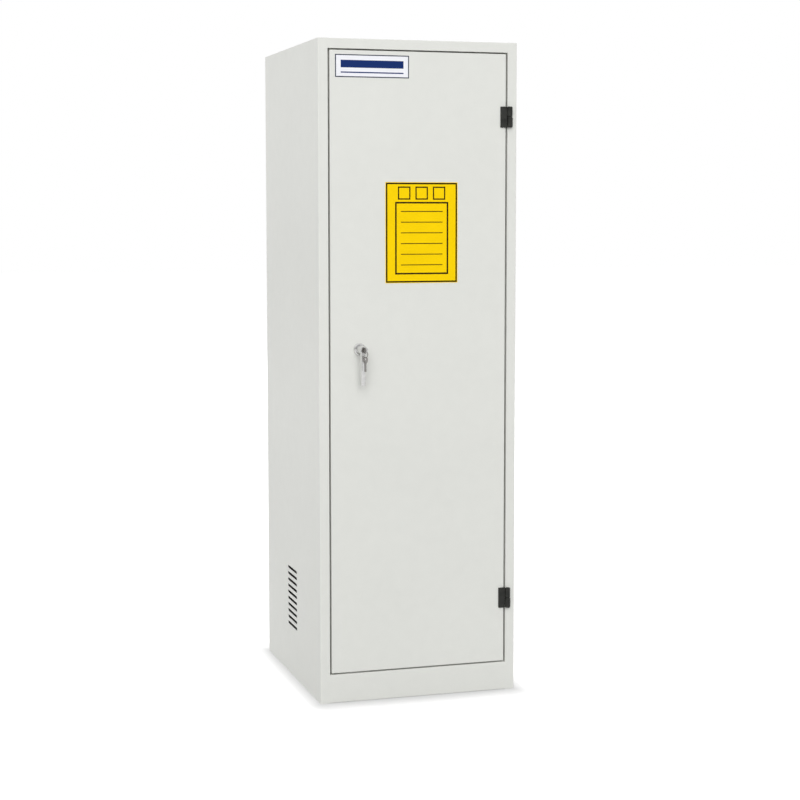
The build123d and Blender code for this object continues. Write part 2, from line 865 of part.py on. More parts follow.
for line, middle in strip_lines.items():
    with BuildPart() as right_strip:
        add(shelf_strip(middle))
    finish_piece(right_strip, f"right_{line}_strip")
    with BuildPart() as left_strip:
        add(shelf_strip(middle))
        mirror(about=Plane.YZ, mode=Mode.REPLACE)
    finish_piece(left_strip, f"left_{line}_strip")


def shelf_clips(level):
    # Four bent clips: a ledge under the shelf, an upright on the strip and a tab in its slot.
    tab_top = level - clip_tab_drop + clip_tab_height / 2
    with BuildPart() as clips:
        for middle in strip_lines.values():
            near, far = middle - clip_width / 2, middle + clip_width / 2
            block((strip_face - clip_ledge, strip_face), (near, far), (level - clip_sheet, level))
            block((strip_face - clip_sheet, strip_face), (near, far), (level - clip_drop, level))
            block((strip_face, strip_face + clip_tab_reach), (near, far), (tab_top - clip_tab_height, tab_top))
        mirror(about=Plane.YZ)
    return clips


def shelf(level):
    # Sheet tray with a raised rim all round.
    with BuildPart() as tray:
        block((-shelf_half_width, shelf_half_width), (shelf_front, shelf_back), (level, level + shelf_rim))
        fillet(tray.edges().filter_by(Axis.Z), shelf_corner_radius)
        fillet(tray.faces().sort_by(Axis.Z)[0].edges(), fold_inside + sheet)
        offset(amount=-sheet, openings=tray.faces().sort_by(Axis.Z)[-1])
    return tray


for name, share in shelf_shares.items():
    shelf_slot = round(share * (strip_slot_count - 1))
    shelf_level = strip_bottom + strip_first_slot + shelf_slot * strip_slot_pitch + clip_tab_drop
    finish_piece(shelf_clips(shelf_level), f"{name}_clips")
    finish_piece(shelf(shelf_level), name)

# Sump tray: moulded tub with a turned-out rim, loose on the cabinet floor

with BuildPart() as sump_tray:
    block(
        (tray_rim - tray_half_width, tray_half_width - tray_rim),
        (tray_front + tray_rim, tray_back - tray_rim),
        (plinth_height, plinth_height + tray_height),
    )
    fillet(sump_tray.edges().filter_by(Axis.Z), tray_corner_radius - tray_rim)
    fillet(sump_tray.faces().sort_by(Axis.Z)[0].edges(), tray_foot_radius)
    block(
        (-tray_half_width, tray_half_width),
        (tray_front, tray_back),
        (plinth_height + tray_height - tray_wall, plinth_height + tray_height),
    )
    outer_corners = sump_tray.edges().filter_by(Axis.Z).group_by(SortBy.LENGTH)[0]
    fillet(outer_corners, tray_corner_radius)
    with BuildSketch(Plane.XY.offset(plinth_height + tray_wall)):
        with Locations((0, (tray_front + tray_back) / 2)):
            RectangleRounded(
                2 * (tray_half_width - tray_rim - tray_wall),
                tray_back - tray_front - 2 * (tray_rim + tray_wall),
                tray_corner_radius - tray_rim - tray_wall,
            )
    extrude(amount=tray_height, mode=Mode.SUBTRACT)
finish_piece(sump_tray, "sump_tray")
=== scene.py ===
import json
from math import radians

import bmesh
import bpy
import numpy as np
from mathutils import Matrix, Vector


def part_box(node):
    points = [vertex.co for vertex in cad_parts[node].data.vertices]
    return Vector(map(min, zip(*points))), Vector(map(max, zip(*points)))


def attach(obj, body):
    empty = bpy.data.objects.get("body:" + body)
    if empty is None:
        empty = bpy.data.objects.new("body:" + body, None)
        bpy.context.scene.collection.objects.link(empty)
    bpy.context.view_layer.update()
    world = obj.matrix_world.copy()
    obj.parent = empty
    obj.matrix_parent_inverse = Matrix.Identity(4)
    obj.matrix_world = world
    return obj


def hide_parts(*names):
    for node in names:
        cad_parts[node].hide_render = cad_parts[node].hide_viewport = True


# Chemical cabinet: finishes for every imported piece, small hardware made in full, studio and camera.
# Metres, X right, Y to the back, Z up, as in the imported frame.

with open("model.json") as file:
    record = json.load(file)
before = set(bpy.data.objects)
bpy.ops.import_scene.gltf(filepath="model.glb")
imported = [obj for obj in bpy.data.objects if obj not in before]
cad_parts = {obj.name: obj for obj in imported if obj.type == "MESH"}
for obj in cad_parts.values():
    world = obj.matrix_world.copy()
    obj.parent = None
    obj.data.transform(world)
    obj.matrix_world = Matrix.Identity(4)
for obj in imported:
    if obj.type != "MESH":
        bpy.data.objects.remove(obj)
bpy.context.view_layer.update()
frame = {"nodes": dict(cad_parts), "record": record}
nodes = frame["nodes"]
print("frame loaded:", len(nodes), "nodes")


# node helpers for the finishes

def newFinish(name, values=None):
    # blank material with its constant values set on the shader's own sockets
    finish = bpy.data.materials.new(name)
    finish.use_nodes = True
    tree = finish.node_tree
    surface = tree.nodes["Principled BSDF"]
    for socket, value in (values or {}).items():
        surface.inputs[socket].default_value = value
    place = tree.nodes.new("ShaderNodeTexCoord").outputs["Object"]
    return finish, tree, surface, place


def put(tree, kind, inputs=None, **settings):
    # one node: settings on the node itself, then a number or a link on each named input
    node = tree.nodes.new("ShaderNode" + kind)
    for key, value in settings.items():
        setattr(node, key, value)
    for key, value in (inputs or {}).items():
        if isinstance(value, bpy.types.NodeSocket):
            tree.links.new(value, node.inputs[key])
        else:
            node.inputs[key].default_value = value
    return node


def maths(tree, operation, *values):
    return put(tree, "Math", dict(enumerate(values)), operation=operation).outputs[0]


def noise(tree, place, size, detail=2.0, stretch=None):
    # cloudy pattern from 0 to 1 whose blots are about this size in metres, drawn out by stretch
    if stretch:
        place = put(tree, "Mapping", {"Vector": place, "Scale": stretch}).outputs[0]
    return put(tree, "TexNoise", {"Vector": place, "Scale": 1 / size, "Detail": detail}).outputs["Fac"]


def spread(tree, value, low, high, fromLow=0.25, fromHigh=0.75):
    # straight-line change from one range to another, clipped at its ends
    limits = {"From Min": fromLow, "From Max": fromHigh, "To Min": low, "To Max": high}
    return put(tree, "MapRange", {"Value": value, **limits}).outputs["Result"]


def mixTint(tree, share, first, second):
    # colour between two tints or links, by share
    inputs = {0: share, 6: first, 7: second}
    return put(tree, "Mix", inputs, data_type="RGBA").outputs[2]


def relief(tree, surface, height, depth):
    # bump of this depth in metres under a height that runs from 0 to 1
    bump = put(tree, "Bump", {"Height": height, "Distance": depth, "Strength": 1.0})
    tree.links.new(bump.outputs["Normal"], surface.inputs["Normal"])


def feed(tree, surface, **links):
    # joins worked-out values to the shader, by socket name without its spaces
    for name, value in links.items():
        tree.links.new(value, surface.inputs[name.replace("_", " ")])


def tint(red, green, blue, factor=1.0):
    # a screen colour from 0 to 255 as linear light, made lighter or darker by a factor
    screen = np.array([red, green, blue]) / 255
    linear = np.where(screen <= 0.04045, screen / 12.92, ((screen + 0.055) / 1.055) ** 2.4)
    return (*np.clip(linear * factor, 0, 1).tolist(), 1.0)


# finishes

coatLook = dict(
    colour=(224, 225, 220), cloud=0.4, drift=0.02, mottle=0.03, mottleShare=0.012,
    speck=0.0006, speckShare=0.02, grain=0.0014, depth=0.00002, gloss=(0.36, 0.5),
)


def powderCoat():
    # tone: the sum of a slow drift, a faint mottle and fine specks, each up and down by its share;
    # orange peel in the bump and the gloss
    finish, tree, surface, place = newFinish("powderCoat", {"IOR": 1.48})
    look = coatLook
    cloud = spread(tree, noise(tree, place, look["cloud"], 3), -look["drift"], look["drift"])
    mottle = spread(tree, noise(tree, place, look["mottle"], 3), -look["mottleShare"], look["mottleShare"])
    speck = spread(tree, noise(tree, place, look["speck"], 1), -look["speckShare"], look["speckShare"])
    grain = noise(tree, place, look["grain"], 2)
    tone = maths(tree, "ADD", cloud, maths(tree, "ADD", mottle, speck))
    swing = look["drift"] + look["mottleShare"] + look["speckShare"]
    share = spread(tree, tone, 0, 1, -swing, swing)
    colour = mixTint(tree, share, tint(*look["colour"], 1 - swing), tint(*look["colour"], 1 + swing))
    feed(tree, surface, Base_Color=colour, Roughness=spread(tree, grain, *look["gloss"]))
    relief(tree, surface, grain, look["depth"])
    return finish


chromeLook = dict(
    colour=(0.78, 0.78, 0.77), dullShare=0.86, smudge=0.011, scratch=0.0006, scratchDraw=(1, 1, 0.08),
    gloss=(0.05, 0.16), depth=0.000002,
)


def chromePlate():
    # mirror plate with faint finger smudges in the gloss and hair-fine scratches
    finish, tree, surface, place = newFinish("chromePlate", {"Metallic": 1.0})
    look = chromeLook
    smudge = noise(tree, place, look["smudge"], 4)
    scratch = noise(tree, place, look["scratch"], 2, look["scratchDraw"])
    bright = (*look["colour"], 1)
    dull = (*[look["dullShare"] * part for part in look["colour"]], 1)
    feed(tree, surface, Base_Color=mixTint(tree, spread(tree, smudge, 0, 1), bright, dull))
    feed(tree, surface, Roughness=spread(tree, smudge, *look["gloss"]))
    relief(tree, surface, scratch, look["depth"])
    return finish


nickelLook = dict(
    colour=(0.38, 0.37, 0.355), worn=(0.17, 0.16, 0.148), smudge=0.006, wearRange=(0.45, 0.8),
    scratch=0.0004, scratchDraw=(1, 1, 0.15), gloss=(0.14, 0.34), depth=0.000006,
)


def nickelPlate():
    # keys and lock: warm plate, rubbed dull in patches, with fine scratches
    finish, tree, surface, place = newFinish("nickelPlate", {"Metallic": 1.0})
    look = nickelLook
    smudge = noise(tree, place, look["smudge"], 4)
    scratch = noise(tree, place, look["scratch"], 3, look["scratchDraw"])
    wear = spread(tree, smudge, 0, 1, *look["wearRange"])
    feed(tree, surface, Base_Color=mixTint(tree, wear, (*look["colour"], 1), (*look["worn"], 1)))
    feed(tree, surface, Roughness=spread(tree, smudge, *look["gloss"]))
    relief(tree, surface, scratch, look["depth"])
    return finish


zincLook = dict(
    bright=(0.62, 0.63, 0.64), dull=(0.47, 0.485, 0.5), spangle=0.007, brush=0.0012, brushDraw=(1, 1, 0.04),
    gloss=(0.28, 0.46), glossRange=(0.2, 1.6), depth=0.000008,
)


def zincPlate():
    # pressed hardware: crystal spangle in tone and gloss, drawn lines along the height
    finish, tree, surface, place = newFinish("zincPlate", {"Metallic": 1.0})
    look = zincLook
    cells = put(tree, "TexVoronoi", {"Vector": place, "Scale": 1 / look["spangle"], "Randomness": 1.0})
    cell = put(tree, "SeparateColor", {"Color": cells.outputs["Color"]}).outputs["Red"]
    brush = noise(tree, place, look["brush"], 2, look["brushDraw"])
    feed(tree, surface, Base_Color=mixTint(tree, cell, (*look["bright"], 1), (*look["dull"], 1)))
    both = maths(tree, "ADD", cell, brush)
    feed(tree, surface, Roughness=spread(tree, both, *look["gloss"], *look["glossRange"]))
    relief(tree, surface, brush, look["depth"])
    return finish


castLook = dict(
    colour=(0.021, 0.0216, 0.0195), rubbed=(0.04, 0.041, 0.037), patch=0.012, rubRange=(0.4, 0.8),
    grain=0.0009, gloss=(0.42, 0.56), depth=0.00003,
)


def blackCast():
    # hinges: satin black over a fine cast skin, a little greyer in patches
    finish, tree, surface, place = newFinish("blackCast", {"IOR": 1.5, "Specular IOR Level": 0.25})
    look = castLook
    grain = noise(tree, place, look["grain"], 2)
    rub = spread(tree, noise(tree, place, look["patch"], 3), 0, 1, *look["rubRange"])
    feed(tree, surface, Base_Color=mixTint(tree, rub, (*look["colour"], 1), (*look["rubbed"], 1)))
    feed(tree, surface, Roughness=spread(tree, grain, *look["gloss"]))
    relief(tree, surface, grain, look["depth"])
    return finish


rubberLook = dict(
    colour=(0.018, 0.018, 0.018), dusty=(0.05, 0.05, 0.048), patch=0.004,
    grain=0.0007, gloss=(0.66, 0.85), depth=0.00003,
)


def blackRubber():
    # buffers: matt moulding with a dusty bloom
    finish, tree, surface, place = newFinish("blackRubber", {"IOR": 1.5})
    look = rubberLook
    grain = noise(tree, place, look["grain"], 2)
    bloom = spread(tree, noise(tree, place, look["patch"], 3), 0, 1)
    feed(tree, surface, Base_Color=mixTint(tree, bloom, (*look["colour"], 1), (*look["dusty"], 1)))
    feed(tree, surface, Roughness=spread(tree, grain, *look["gloss"]))
    relief(tree, surface, grain, look["depth"])
    return finish


trayLook = dict(
    colour=(70, 73, 76), drift=0.12, flow=0.09, flowDraw=(1, 1, 2.5),
    grain=0.0016, depth=0.00005, gloss=(0.42, 0.58),
)


def mouldedTray():
    # polyethylene: leathery grain with slow flow marks along the mould
    finish, tree, surface, place = newFinish("mouldedTray", {"IOR": 1.51})
    look = trayLook
    flow = spread(tree, noise(tree, place, look["flow"], 3, look["flowDraw"]), 0, 1)
    grain = noise(tree, place, look["grain"], 3)
    dark, pale = tint(*look["colour"], 1 - look["drift"]), tint(*look["colour"], 1 + look["drift"])
    feed(tree, surface, Base_Color=mixTint(tree, flow, dark, pale), Roughness=spread(tree, grain, *look["gloss"]))
    relief(tree, surface, grain, look["depth"])
    return finish


def boxDistance(tree, x, z, centre, half):
    # distance to a rectangle's edge: the larger of how far X and Z stand past its half sizes
    across = maths(tree, "SUBTRACT", maths(tree, "ABSOLUTE", maths(tree, "SUBTRACT", x, centre[0])), half[0])
    up = maths(tree, "SUBTRACT", maths(tree, "ABSOLUTE", maths(tree, "SUBTRACT", z, centre[1])), half[1])
    return maths(tree, "MAXIMUM", across, up)


def sheetPrint(name, node, values):
    # material for a printed sheet: its X and Z from the sheet's own middle, and its half sizes
    finish, tree, surface, place = newFinish(name, values)
    low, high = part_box(node)
    middle = (low + high) / 2
    axes = put(tree, "SeparateXYZ", {"Vector": place})
    x = maths(tree, "SUBTRACT", axes.outputs["X"], middle.x)
    z = maths(tree, "SUBTRACT", axes.outputs["Z"], middle.z)
    half = ((high.x - low.x) / 2, (high.z - low.z) / 2)
    return finish, tree, surface, place, x, z, half


cardLook = dict(
    paper=(250, 211, 0), ink=(38, 27, 8), shade=0.03, margin=0.0013, border=0.0036, line=0.0019,
    frameMiddle=(0.0003, -0.0126), frameHalf=(0.0622, 0.0812),
    rules=6, rulePitch=0.0245, ruleHalf=0.001, ruleInset=0.012,
    tickMiddle=0.0905, tickHalf=0.0135, tickPitch=0.042, tickLine=0.00152, tickReach=0.0609,
    mottle=0.05, grain=0.0011, depth=0.000006, gloss=(0.36, 0.48),
    shader={"IOR": 1.46, "Specular IOR Level": 0.12},
)


def contentsCardPrint():
    # yellow sheet with a border just inside its edge, an empty ruled frame and three empty tick boxes
    look = cardLook
    sheet = sheetPrint("contentsCardPrint", "contents_card", look["shader"])
    finish, tree, surface, place, x, z, half = sheet
    halfBorder = look["border"] / 2
    edge = boxDistance(tree, x, z, (0, 0), half)
    border = maths(tree, "COMPARE", edge, -look["margin"] - halfBorder, halfBorder)
    frameEdge = boxDistance(tree, x, z, look["frameMiddle"], look["frameHalf"])
    frameLine = maths(tree, "COMPARE", frameEdge, 0.0, look["line"])
    # rules: distance to the nearest of the evenly spaced lines, kept inside the frame
    ruleReach = (look["frameHalf"][0] - look["ruleInset"], look["rulePitch"] * look["rules"] / 2)
    inside = maths(tree, "LESS_THAN", boxDistance(tree, x, z, look["frameMiddle"], ruleReach), 0.0)
    halfPitch = look["rulePitch"] / 2
    fromTop = maths(tree, "SUBTRACT", z, look["frameMiddle"][1] + ruleReach[1])
    nearest = maths(tree, "PINGPONG", maths(tree, "SUBTRACT", fromTop, halfPitch), halfPitch)
    rule = maths(tree, "MULTIPLY", inside, maths(tree, "LESS_THAN", nearest, look["ruleHalf"]))
    # tick boxes: the same square at each step to the side
    column = maths(tree, "SNAP", maths(tree, "ADD", x, look["tickPitch"] / 2), look["tickPitch"])
    step = maths(tree, "SUBTRACT", x, column)
    tickEdge = boxDistance(tree, step, z, (0.0, look["tickMiddle"]), (look["tickHalf"], look["tickHalf"]))
    three = maths(tree, "LESS_THAN", maths(tree, "ABSOLUTE", x), look["tickReach"])
    tick = maths(tree, "MULTIPLY", three, maths(tree, "COMPARE", tickEdge, 0.0, look["tickLine"]))
    lines = maths(tree, "MAXIMUM", border, frameLine)
    ink = maths(tree, "MAXIMUM", lines, maths(tree, "MAXIMUM", rule, tick))
    mottle = spread(tree, noise(tree, place, look["mottle"], 3), 0, 1)
    grain = noise(tree, place, look["grain"], 2)
    dark, pale = tint(*look["paper"], 1 - look["shade"]), tint(*look["paper"], 1 + look["shade"])
    colour = mixTint(tree, ink, mixTint(tree, mottle, dark, pale), tint(*look["ink"]))
    feed(tree, surface, Base_Color=colour, Roughness=spread(tree, grain, *look["gloss"]))
    relief(tree, surface, grain, look["depth"])
    return finish


plateLook = dict(
    paper=(240, 241, 246), ink=(16, 44, 104), edge=(46, 54, 74), shade=0.02, border=0.0022,
    barMiddle=(0.0, 0.0045), barHalf=(0.074, 0.0085), lineMiddle=(0.0, -0.0145), lineHalf=(0.074, 0.0014),
    mottle=0.04, grain=0.001, depth=0.000005, gloss=(0.3, 0.42),
    shader={"IOR": 1.46, "Specular IOR Level": 0.2},
)


def namePlatePrint():
    # white sheet with a thin border, one plain bar and one plain line
    look = plateLook
    sheet = sheetPrint("namePlatePrint", "name_plate", look["shader"])
    finish, tree, surface, place, x, z, half = sheet
    border = maths(tree, "GREATER_THAN", boxDistance(tree, x, z, (0, 0), half), -look["border"])
    bar = maths(tree, "LESS_THAN", boxDistance(tree, x, z, look["barMiddle"], look["barHalf"]), 0.0)
    line = maths(tree, "LESS_THAN", boxDistance(tree, x, z, look["lineMiddle"], look["lineHalf"]), 0.0)
    mottle = spread(tree, noise(tree, place, look["mottle"], 3), 0, 1)
    grain = noise(tree, place, look["grain"], 2)
    dark, pale = tint(*look["paper"], 1 - look["shade"]), tint(*look["paper"], 1 + look["shade"])
    paper = mixTint(tree, mottle, dark, pale)
    printed = mixTint(tree, maths(tree, "MAXIMUM", bar, line), paper, tint(*look["ink"]))
    colour = mixTint(tree, border, printed, tint(*look["edge"]))
    feed(tree, surface, Base_Color=colour, Roughness=spread(tree, grain, *look["gloss"]))
    relief(tree, surface, grain, look["depth"])
    return finish


finishes = {
    "powder_coat": powderCoat(),
    "chrome": chromePlate(),
    "lock_nickel": nickelPlate(),
    "zinc_plate": zincPlate(),
    "hinge_black": blackCast(),
    "buffer_rubber": blackRubber(),
    "tray_plastic": mouldedTray(),
    "card_yellow": contentsCardPrint(),
    "plate_white": namePlatePrint(),
}
for part in frame["record"]["subparts"]:
    for slot in nodes[part["node"]].material_slots:
        slot.material = finishes[part["material_slot"]]
print("finishes set:", len(finishes))


# surfaces worked out on grids

def gridQuads(rows, columns, wrapRows, wrapColumns):
    # four corner indices of each cell of a grid, wrapped where the surface closes on itself
    rowStarts = np.arange(rows if wrapRows else rows - 1)
    columnStarts = np.arange(columns if wrapColumns else columns - 1)
    row, column = np.meshgrid(rowStarts, columnStarts, indexing="ij")
    here, below = row * columns, (row + 1) % rows * columns
    beside = (column + 1) % columns
    return np.stack([here + column, below + column, below + beside, here + beside], -1).reshape(-1, 4)


def makePiece(name, grids, slotName, body, stands, crease=38):
    # joins the grids into one mesh, closes seams and poles, and hangs the piece on its body in place of its nodes
    points, faces, start = [], [], 0
    for grid, wrapRows, wrapColumns in grids:
        points.append(grid.reshape(-1, 3))
        faces.append(gridQuads(*grid.shape[:2], wrapRows, wrapColumns) + start)
        start += len(points[-1])
    mesh = bpy.data.meshes.new(name)
    mesh.from_pydata(np.concatenate(points).tolist(), [], np.concatenate(faces).tolist())
    shape = bmesh.new()
    shape.from_mesh(mesh)
    bmesh.ops.remove_doubles(shape, verts=shape.verts, dist=1e-6)
    bmesh.ops.recalc_face_normals(shape, faces=shape.faces)
    shape.to_mesh(mesh)
    shape.free()
    mesh.shade_smooth()
    mesh.set_sharp_from_angle(angle=radians(crease))
    mesh.materials.append(finishes[slotName])
    piece = bpy.data.objects.new(name, mesh)
    bpy.context.scene.collection.objects.link(piece)
    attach(piece, body)
    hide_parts(*stands)
    print("piece:", name, len(mesh.polygons), "faces")


mm = 0.001


def smoothStep(value, low, high):
    # 0 below low, 1 above high, and an S-shaped change between them
    share = np.clip((value - low) / (high - low), 0, 1)
    return share * share * (3 - 2 * share)


def setIn(local, origin, first, second, third):
    # local millimetres along three directions, added to a place in metres
    axes = np.array([first, second, third], dtype=float) * mm
    return local @ axes + np.array(origin, dtype=float)


def lathe(radius, along, sides):
    # profile of radius and height turned round the third axis, on a grid of profile points by angles
    angle = np.linspace(0, 2 * np.pi, sides, endpoint=False)
    ring = np.stack([np.cos(angle), np.sin(angle)], -1)
    flat = radius[:, None, None] * ring[None]
    return np.concatenate([flat, np.broadcast_to(along[:, None, None], flat.shape[:2] + (1,))], -1)


def closeEnds(grid):
    # adds a row at each end with every point at that row's middle, so that the tube is shut
    first = np.broadcast_to(grid[:1].mean(1, keepdims=True), grid[:1].shape)
    last = np.broadcast_to(grid[-1:].mean(1, keepdims=True), grid[-1:].shape)
    return np.concatenate([first, grid, last])


# screws

screwLook = dict(
    domeShare=0.38, domeRows=((0.0, 0.92, 44), (0.935, 1.0, 8)), sides=72, rimFoot=0.12, rimShare=0.97,
    crossWidth=0.24, crossReach=0.62, crossFade=0.3, crossDepth=1.15, crossEdge=0.05,
    shankRadius=2.0, shankTop=0.3, pitch=0.9, threadDepth=0.22, threadRunIn=0.7, rowsPerPitch=14,
    tipLength=0.5, tipGap=0.1, tipShares=(0.85, 0.5),
)


def crossScrew(headRadius, headHeight, length):
    # pan head: an oval dome over a short rim, sunk by a cross whose arms fade out at their ends;
    # shank: a radius that rises and falls once for each pitch and turn, closed at the tip
    look = screwLook
    sides, radius = look["sides"], look["shankRadius"]
    share = np.concatenate([np.linspace(*rows) for rows in look["domeRows"]])
    top = lathe(headRadius * share, headHeight * (1 - look["domeShare"] * share ** 3), sides)
    armX, armY = np.abs(top[..., 0]) / headRadius, np.abs(top[..., 1]) / headRadius
    wide, wideEnd = look["crossWidth"] / 2, look["crossWidth"] / 2 + look["crossEdge"]
    reach, reachStart = look["crossReach"], look["crossReach"] - look["crossFade"]
    barOne = (1 - smoothStep(armX, wide, wideEnd)) * (1 - smoothStep(armY, reachStart, reach))
    barTwo = (1 - smoothStep(armY, wide, wideEnd)) * (1 - smoothStep(armX, reachStart, reach))
    top[..., 2] -= look["crossDepth"] * np.maximum(barOne, barTwo)
    rimRadius = np.array([headRadius, headRadius, headRadius * look["rimShare"], 0.0])
    rim = lathe(rimRadius, np.array([headHeight * (1 - look["domeShare"]), look["rimFoot"], 0.0, 0.0]), sides)

    shankEnd = look["tipLength"] + look["tipGap"] - length
    along = np.linspace(look["shankTop"], shankEnd, int(length / look["pitch"] * look["rowsPerPitch"]))
    shank = lathe(np.full(len(along), radius), along, sides)
    angle = np.arctan2(shank[..., 1], shank[..., 0]) / (2 * np.pi)
    wave = np.abs(((along[:, None] / look["pitch"] - angle) % 1) * 2 - 1)
    wave *= smoothStep(-along, 0.0, look["threadRunIn"])[:, None]
    shank[..., :2] *= (1 - look["threadDepth"] / radius * wave)[..., None]
    tip = lathe(radius * np.array(look["tipShares"]), np.array([look["tipLength"] - length, -length]), sides)
    return np.concatenate([top, rim]), closeEnds(np.concatenate([shank, tip]))


def facing(turn):
    # two directions in the door's plane, turned by an angle, and the third towards the back
    return (np.cos(turn), 0, -np.sin(turn)), (np.sin(turn), 0, np.cos(turn)), (0, 1, 0)


hingeScrewLook = dict(
    headRadius=3.5, headHeight=2.4, length=3.6, doorSpacing=28.0, frameSpacing=12.0, turns=(0.3, 1.0, 0.7, 0.15),
)


def hingeScrews(name, node, body, spacing):
    # four screws, two on each hinge, heads towards the inside
    look = hingeScrewLook
    low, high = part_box(node)
    lowest, highest = low.z + look["headRadius"] * mm, high.z - look["headRadius"] * mm
    levels = (lowest, lowest + spacing * mm, highest - spacing * mm, highest)
    parts = crossScrew(look["headRadius"], look["headHeight"], look["length"])
    grids = []
    for turn, level in zip(look["turns"], levels):
        origin = ((low.x + high.x) / 2, high.y - look["headHeight"] * mm, level)
        grids += [(setIn(part, origin, *facing(turn)), False, True) for part in parts]
    makePiece(name, grids, "zinc_plate", body, [node])


hingeScrews("hingeDoorScrews", "hinge_door_screws", "door", hingeScrewLook["doorSpacing"])
hingeScrews("hingeFrameScrews", "hinge_frame_screws", "cabinet", hingeScrewLook["frameSpacing"])

camScrewLook = dict(headRadius=4.5, headHeight=2.4, length=8.0, turn=0.5)


def camScrew():
    # the same screw, larger, holding the cam on the end of the spindle
    look = camScrewLook
    low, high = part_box("cam_screw")
    origin = ((low.x + high.x) / 2, high.y - look["headHeight"] * mm, (low.z + high.z) / 2)
    parts = crossScrew(look["headRadius"], look["headHeight"], look["length"])
    grids = [(setIn(part, origin, *facing(look["turn"])), False, True) for part in parts]
    makePiece("camScrew", grids, "zinc_plate", "handle", ["cam_screw"])


camScrew()


# nut behind the door

nutLook = dict(
    flats=26.0, thickness=5.0, coneShare=1.02, coneSlope=1.5625, sides=192, rows=15,
    bore=9.05, thread=0.16, pitch=1.0, boreEnd=0.25, boreRows=41, lip=0.45, crease=25,
)


def roseNut():
    # six-sided ring: at each angle the section runs up the threaded bore, over the top and down the outside;
    # the outside is the nearer of the flat and a cone at each end that takes the corners off
    look = nutLook
    low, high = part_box("rose_nut")
    thickness, halfFlats = look["thickness"], look["flats"] / 2
    angle = np.linspace(0, 2 * np.pi, look["sides"], endpoint=False)
    flat = halfFlats / np.cos((angle + np.pi / 6) % (np.pi / 3) - np.pi / 6)
    rise = np.linspace(0, thickness, look["rows"])
    cone = halfFlats * look["coneShare"] + np.minimum(rise, thickness - rise) * look["coneSlope"]
    outside = np.minimum(flat[None], cone[:, None])
    boreRise = np.linspace(look["boreEnd"], thickness - look["boreEnd"], look["boreRows"])
    ridge = np.abs(((boreRise[:, None] / look["pitch"] - angle[None] / (2 * np.pi)) % 1) * 2 - 1)
    bore = look["bore"] + look["thread"] * ridge
    lip = np.full((1, look["sides"]), look["bore"] + look["lip"])
    radius = np.concatenate([lip, bore, lip, outside[::-1]])
    along = np.concatenate([[0.0], boreRise, [thickness], rise[::-1]])
    height = np.broadcast_to(along[:, None], radius.shape)
    grid = np.stack([radius * np.cos(angle), radius * np.sin(angle), height], -1)
    origin = ((low.x + high.x) / 2, low.y, (low.z + high.z) / 2)
    placed = setIn(grid, origin, (1, 0, 0), (0, 0, 1), (0, 1, 0))
    makePiece("roseNut", [(placed, True, True)], "zinc_plate", "door", ["rose_nut"], look["crease"])


roseNut()


# keys and ring

keyLook = dict(
    thickness=1.8, bevel=0.28, crease=30,
    bowLength=15.5, bowWidth=15.0, bowCorner=6.0, holeRadius=2.8, holeRim=2.4, bowSteps=160, cornerSteps=25,
    panel=0.24, panelEdge=(1.1, 1.5), panelRows=29,
    bladeLength=19.5, bladeWidth=6.5, bladeBevel=0.168, root=1.2,
    bladeRows=190, bladeColumns=33, bladeFlat=(0.03, 0.97),
    groove=0.42, grooveHalf=0.75, grooveFade=0.3, grooveOff=-0.9, grooveStart=(-0.2, 1.0),
    cuts=(4.0, 8.0, 12.0, 16.0), cutDepths=(1.5, 0.9, 1.6, 1.1), cutHalf=1.5, cutSlope=1.25,
    tipTaper=2.4, tipPower=1.5, tipTop=2.2, tipBottom=2.4,
)


def bowOutline():
    # rounded rectangle: corner circles joined by straight sides, with points spread evenly along it
    look = keyLook
    corner = look["bowCorner"]
    halfLong, halfWide = look["bowLength"] / 2 - corner, look["bowWidth"] / 2 - corner
    signs = np.array([(1, 1), (-1, 1), (-1, -1), (1, -1)])
    quarter = np.linspace(0, np.pi / 2, look["cornerSteps"])
    angle = np.arange(4)[:, None] * np.pi / 2 + quarter[None]
    arcs = np.stack([np.cos(angle), np.sin(angle)], -1) * corner + (signs * (halfLong, halfWide))[:, None]
    path = arcs.reshape(-1, 2)
    path = np.concatenate([path, path[:1]])
    walked = np.concatenate([[0], np.cumsum(np.hypot(*np.diff(path, axis=0).T))])
    even = np.linspace(0, walked[-1], look["bowSteps"], endpoint=False)
    outline = np.stack([np.interp(even, walked, path[:, 0]), np.interp(even, walked, path[:, 1])], -1)
    return outline + [look["bowLength"] / 2, 0]


def keyBow():
    # section carried round the bow: up the hole's wall, over the face with its sunk panel, down the edge and back
    look = keyLook
    half, bevel = look["thickness"] / 2, look["bevel"]
    outer = bowOutline()
    hole = np.array([look["bowLength"] - look["holeRim"] - look["holeRadius"], 0.0])
    ray = outer - hole
    ray /= np.linalg.norm(ray, axis=1, keepdims=True)
    inner = hole + look["holeRadius"] * ray
    middle = np.array([look["bowLength"] / 2, 0.0])
    inward = middle - outer
    inset = outer + inward / np.linalg.norm(inward, axis=1, keepdims=True) * bevel
    innerFace = hole + (look["holeRadius"] + bevel) * ray
    share = np.linspace(0, 1, look["panelRows"])[:, None, None]
    face = innerFace[None] * (1 - share) + inset[None] * share
    fromEdge = np.linalg.norm(face - inset[None], axis=-1)
    fromHole = np.linalg.norm(face - hole, axis=-1) - look["holeRadius"]
    sunk = smoothStep(fromEdge, *look["panelEdge"]) * smoothStep(fromHole, *look["panelEdge"])
    level = half - look["panel"] * sunk
    flat = np.concatenate([inner[None], inner[None], face, outer[None], outer[None], face[::-1]])
    edgeLevel = np.full((1, len(outer)), half - bevel)
    rise = np.concatenate([-edgeLevel, edgeLevel, level, edgeLevel, -edgeLevel, -level[::-1]])
    return np.concatenate([flat, rise[..., None]], -1)


